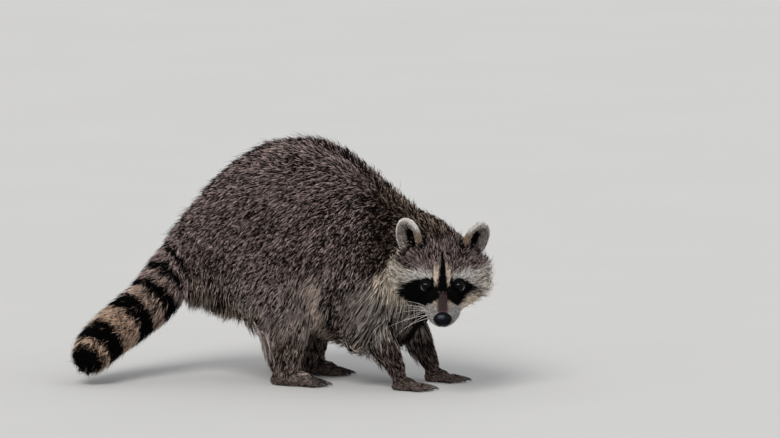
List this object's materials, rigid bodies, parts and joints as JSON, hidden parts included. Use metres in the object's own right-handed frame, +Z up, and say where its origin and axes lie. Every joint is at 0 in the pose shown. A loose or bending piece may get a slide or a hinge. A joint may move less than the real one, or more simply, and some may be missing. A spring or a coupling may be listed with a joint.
{
  "type": "raccoon",
  "caption": "Life-size still model of a live raccoon standing with its back arched, its head low and turned to its right, and its ringed tail hanging behind.",
  "frame": {"origin": "on the floor, under the middle of the model's box", "axes": "+X is the way the body faces, from the tail root to the breast; +Y is the animal's left; +Z is up. The soles rest at Z = 0."},
  "size_m": [0.5804, 0.2892, 0.3402],
  "materials": {
    "body_fur": "grizzled grey-brown fur: pale beige-grey tips over black-brown, a black fringe along the back",
    "face_fur": "short fur: black mask, cream brow band, muzzle and cheeks, speckled forehead, black midline stripe; white whiskers",
    "tail_fur": "bushy fur in beige and black-brown rings with a black tip",
    "leg_fur": "dark brown fur, short and brown on the paws",
    "ear_fur": "short grey fur with a white rim, dark in the hollow and behind",
    "nose_skin": "moist black skin",
    "eye": "wet and glossy, near black",
    "claw": "dark horn, satin"
  },
  "bodies": {
    "root": {"upper_arm_right": "body_fur", "thigh_right": "body_fur", "upper_arm_left": "body_fur", "thigh_left": "body_fur", "rump": "body_fur", "belly": "body_fur", "chest": "body_fur", "tail_root": "tail_fur", "tail_upper": "tail_fur", "tail_middle": "tail_fur", "tail_end": "tail_fur", "nose": "nose_skin", "eye_right": "eye", "eye_left": "eye", "lower_jaw": "face_fur", "head": "face_fur", "neck": "body_fur", "ear_right": "ear_fur", "ear_left": "ear_fur", "forearm_right": "leg_fur", "forepaw_right": "leg_fur", "shank_right": "leg_fur", "hindpaw_right": "leg_fur", "fore_claw_right_1": "claw", "hind_claw_right_1": "claw", "fore_claw_right_2": "claw", "hind_claw_right_2": "claw", "fore_claw_right_3": "claw", "hind_claw_right_3": "claw", "fore_claw_right_4": "claw", "hind_claw_right_4": "claw", "fore_claw_right_5": "claw", "hind_claw_right_5": "claw", "forearm_left": "leg_fur", "forepaw_left": "leg_fur", "shank_left": "leg_fur", "hindpaw_left": "leg_fur", "fore_claw_left_1": "claw", "hind_claw_left_1": "claw", "fore_claw_left_2": "claw", "hind_claw_left_2": "claw", "fore_claw_left_3": "claw", "hind_claw_left_3": "claw", "fore_claw_left_4": "claw", "hind_claw_left_4": "claw", "fore_claw_left_5": "claw", "hind_claw_left_5": "claw"}
  },
  "joints": []
}
